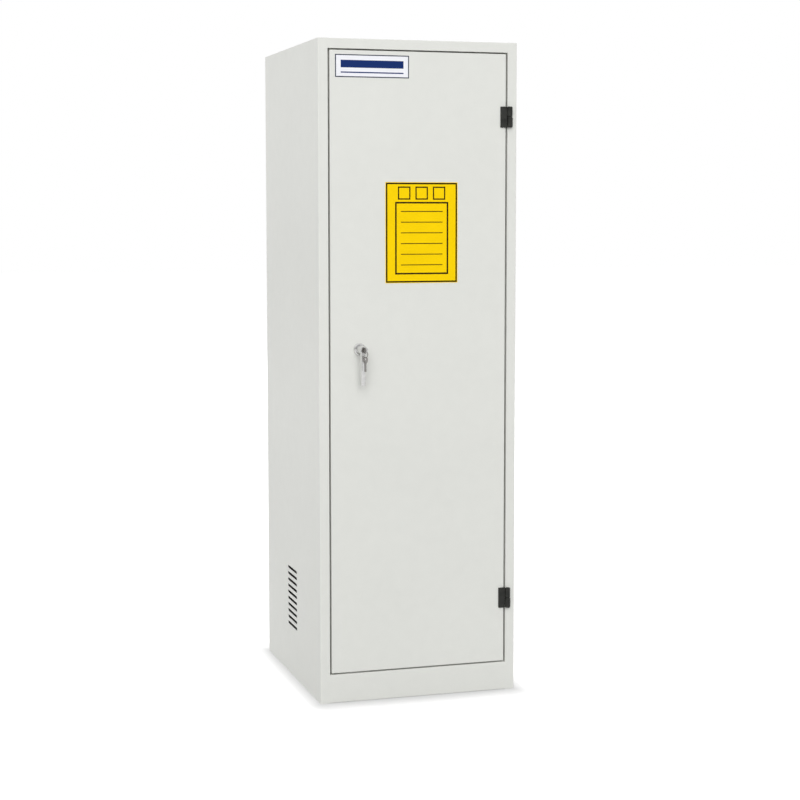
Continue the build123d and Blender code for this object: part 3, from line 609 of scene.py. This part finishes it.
def keyBlade():
    # section across the blade, with a milled groove in each face, carried from the bow to the tip;
    # the cut edge drops by V-shaped notches, and both edges close in at the tip
    look = keyLook
    half = look["thickness"] / 2
    along = np.linspace(look["root"], -look["bladeLength"], look["bladeRows"])
    off = np.abs(along[:, None] + np.array(look["cuts"])) / look["cutHalf"]
    cut = (look["cutDepths"] * np.clip(look["cutSlope"] * (1 - off), 0, 1)).max(1)
    taper = np.clip(1 - (along + look["bladeLength"]) / look["tipTaper"], 0, 1) ** look["tipPower"]
    top = look["bladeWidth"] / 2 - cut - taper * look["tipTop"]
    bottom = -look["bladeWidth"] / 2 + taper * look["tipBottom"]
    share = np.concatenate([[0.0], np.linspace(*look["bladeFlat"], look["bladeColumns"]), [1.0]])
    across = bottom[:, None] + (top - bottom)[:, None] * share[None]
    grooveEdge = (look["grooveHalf"], look["grooveHalf"] + look["grooveFade"])
    groove = 1 - smoothStep(np.abs(across - look["grooveOff"]), *grooveEdge)
    groove *= smoothStep(-along, *look["grooveStart"])[:, None]
    level = half - look["groove"] * groove
    level[:, [0, -1]] = half - look["bladeBevel"]
    ring = np.concatenate([across, across[:, ::-1]], 1)
    rise = np.concatenate([level, -level[:, ::-1]], 1)
    return closeEnds(np.stack([np.broadcast_to(along[:, None], ring.shape), ring, rise], -1))


def makeKey(name, node, body, shoulder, *axes):
    # bow and blade set in place from the shoulder between them, along the key, across it and through it
    bow, blade = setIn(keyBow(), shoulder, *axes), setIn(keyBlade(), shoulder, *axes)
    makePiece(name, [(bow, True, True), (blade, False, True)], "lock_nickel", body, [node], keyLook["crease"])


ringLook = dict(
    turn=28.0, wire=0.75, halfWide=0.62, halfDeep=0.34, offset=0.36, gap=0.16, start=0.75, stepOver=(1.9, 2.1),
    steps=420, corners=24, squareness=0.55, crease=45,
)
ringAngle = radians(ringLook["turn"])
ringAlong = (np.cos(ringAngle), np.sin(ringAngle), 0)
ringAcross = (-np.sin(ringAngle), np.cos(ringAngle), 0)


def squared(wave):
    # a wave from -1 to 1 pushed towards its ends, so that a circle of two such waves turns nearly square
    return np.sign(wave) * np.abs(wave) ** ringLook["squareness"]


def splitRing():
    # flat wire carried along two turns of a circle, stepping sideways once by its own width, shut at both ends
    look = ringLook
    low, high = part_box("key_ring")
    radius = (high.z - low.z) / 2 / mm - look["wire"]
    turn = np.linspace(look["gap"], 4 - look["gap"], look["steps"]) * np.pi
    side = look["offset"] * (2 * smoothStep(turn / np.pi, *look["stepOver"]) - 1)
    corner = np.linspace(0, 2 * np.pi, look["corners"], endpoint=False)
    reach = radius + look["halfWide"] * squared(np.cos(corner))[None]
    depth = side[:, None] + look["halfDeep"] * squared(np.sin(corner))[None]
    angle = (turn + look["start"] * np.pi)[:, None]
    grid = closeEnds(np.stack([reach * np.cos(angle), reach * np.sin(angle), depth], -1))
    placed = setIn(grid, (low + high) / 2, ringAlong, (0, 0, 1), ringAcross)
    makePiece("splitRing", [(placed, False, True)], "lock_nickel", "ring", ["key_ring"], look["crease"])


def hangKeys():
    # one key in the lock, its bow to the front, and one on the ring, its blade down
    low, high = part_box("lock_key")
    shoulder = ((low.x + high.x) / 2, low.y + keyLook["bowLength"] * mm, (low.z + high.z) / 2)
    makeKey("lockKey", "lock_key", "lock", shoulder, (0, -1, 0), (0, 0, -1), (1, 0, 0))
    low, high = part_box("spare_key")
    shoulder = ((low.x + high.x) / 2, (low.y + high.y) / 2, low.z + keyLook["bladeLength"] * mm)
    makeKey("spareKey", "spare_key", "spare", shoulder, (0, 0, 1), tuple(-np.array(ringAcross)), ringAlong)


hangKeys()
splitRing()


# studio and camera

studio = dict(
    skyLight=0.5, mirrorSky=(0.45, 1.0), mirrorRise=0.6,
    floorSize=60.0, floorColour=0.45, floorMirror=0.36,
    # the floor's lift at the base and the distance over which it rises paint a contact shadow round the base;
    # sideFade narrows it at the sides
    floorLift=0.79, paintedShadowLift=0.27, paintedShadowWidth=0.09, sideFade=1.9,
    lampTarget=(0.0, 0.0, 0.8),
    lamps=(
        ("frontLamp", (-2.2, -9.0, 5.0), 8.0, 668.0),
        ("leftLamp", (-8.0, 2.5, 4.5), 4.5, 219.0),
        ("rightLamp", (8.0, 2.5, 4.5), 4.5, 260.0),
        ("backLamp", (0.6, 9.0, 4.5), 4.5, 500.0),
    ),
)


def makeSky():
    # white where it is seen, softer where it gives light, and in mirrors darker low down in front
    world = bpy.data.worlds.new("studioSky")
    world.use_nodes = True
    bpy.context.scene.world = world
    tree = world.node_tree
    rays = put(tree, "LightPath").outputs
    seen = maths(tree, "MAXIMUM", rays["Is Camera Ray"], rays["Is Transmission Ray"])
    way = put(tree, "SeparateXYZ", {"Vector": put(tree, "TexCoord").outputs["Generated"]}).outputs
    height = maths(tree, "MAXIMUM", way["Y"], way["Z"])
    bright = spread(tree, height, *studio["mirrorSky"], 0.0, studio["mirrorRise"])
    mirror = maths(tree, "MULTIPLY", rays["Is Glossy Ray"], bright)
    sky = maths(tree, "MAXIMUM", maths(tree, "MAXIMUM", seen, mirror), studio["skyLight"])
    background = tree.nodes["Background"]
    background.inputs["Color"].default_value = (1, 1, 1, 1)
    tree.links.new(sky, background.inputs["Strength"])


def makeFloor():
    # pale matt floor, with a white added for the camera that is lowered near the base, which paints a soft
    # contact shadow round the base on top of the real shadow;
    # the distance to the base is the root of the squares of how far X, stretched, and Y stand past its sides
    half = studio["floorSize"] / 2
    mesh = bpy.data.meshes.new("studioFloor")
    corners = [(-half, -half, 0), (half, -half, 0), (half, half, 0), (-half, half, 0)]
    mesh.from_pydata(corners, [], [(0, 1, 2, 3)])
    floor = bpy.data.objects.new("studioFloor", mesh)
    bpy.context.scene.collection.objects.link(floor)
    paint = bpy.data.materials.new("studioFloor")
    paint.use_nodes = True
    tree = paint.node_tree
    tree.nodes.remove(tree.nodes["Principled BSDF"])
    matt = put(tree, "BsdfDiffuse", {"Color": (*[studio["floorColour"]] * 3, 1)})
    rays = put(tree, "LightPath").outputs
    low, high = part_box("left_side_panel")
    place = put(tree, "SeparateXYZ", {"Vector": put(tree, "TexCoord").outputs["Object"]}).outputs
    off = maths(tree, "SUBTRACT", maths(tree, "ABSOLUTE", place["X"]), -low.x)
    off = maths(tree, "MULTIPLY", maths(tree, "MAXIMUM", off, 0.0), studio["sideFade"])
    fore = maths(tree, "ABSOLUTE", maths(tree, "SUBTRACT", place["Y"], (low.y + high.y) / 2))
    fore = maths(tree, "MAXIMUM", maths(tree, "SUBTRACT", fore, (high.y - low.y) / 2), 0.0)
    squares = maths(tree, "ADD", maths(tree, "POWER", off, 2.0), maths(tree, "POWER", fore, 2.0))
    distance = maths(tree, "SQRT", squares)
    # painted contact shadow: the camera's white is lowered at the base and rises to the full lift over a short
    # distance
    white = spread(tree, distance, studio["paintedShadowLift"], studio["floorLift"], 0.0, studio["paintedShadowWidth"])
    cameraLift = maths(tree, "MULTIPLY", rays["Is Camera Ray"], white)
    mirrorLift = maths(tree, "MULTIPLY", rays["Is Glossy Ray"], studio["floorMirror"])
    lift = put(tree, "Emission", {"Strength": maths(tree, "ADD", cameraLift, mirrorLift)})
    both = put(tree, "AddShader", {0: matt.outputs[0], 1: lift.outputs[0]})
    tree.links.new(both.outputs[0], tree.nodes["Material Output"].inputs["Surface"])
    mesh.materials.append(paint)


def makeLamps():
    # large square lamps all round, turned to the middle of the cabinet and not mirrored in it
    for name, place, size, power in studio["lamps"]:
        light = bpy.data.lights.new(name, "AREA")
        light.shape, light.size, light.energy = "SQUARE", size, power
        lamp = bpy.data.objects.new(name, light)
        lamp.location = place
        lamp.visible_glossy = False
        way = Vector(studio["lampTarget"]) - Vector(place)
        lamp.rotation_euler = way.to_track_quat("-Z", "Y").to_euler()
        bpy.context.scene.collection.objects.link(lamp)


view = dict(
    place=(-1.2397, -4.1698, 1.1334), turn=16.903, tilt=5.157, roll=0.031,
    focalPixels=1785.4, picturePixels=800, sensorWidth=36.0, shiftUp=-0.0325,
)


def makeCamera():
    # turned to the right and tilted down by the fitted angles, lens from the focal length in picture widths
    data = bpy.data.cameras.new("photoCamera")
    data.sensor_width = view["sensorWidth"]
    data.lens = view["focalPixels"] / view["picturePixels"] * view["sensorWidth"]
    data.shift_y = view["shiftUp"]
    camera = bpy.data.objects.new("photoCamera", data)
    turn = Matrix.Rotation(radians(-view["turn"]), 4, "Z")
    tilt = Matrix.Rotation(radians(90 - view["tilt"]), 4, "X")
    roll = Matrix.Rotation(radians(-view["roll"]), 4, "Z")
    camera.matrix_world = Matrix.Translation(view["place"]) @ turn @ tilt @ roll
    bpy.context.scene.collection.objects.link(camera)
    bpy.context.scene.camera = camera


makeSky()
makeFloor()
makeLamps()
makeCamera()
bpy.context.scene.view_settings.view_transform = "Standard"
print("studio and camera set")
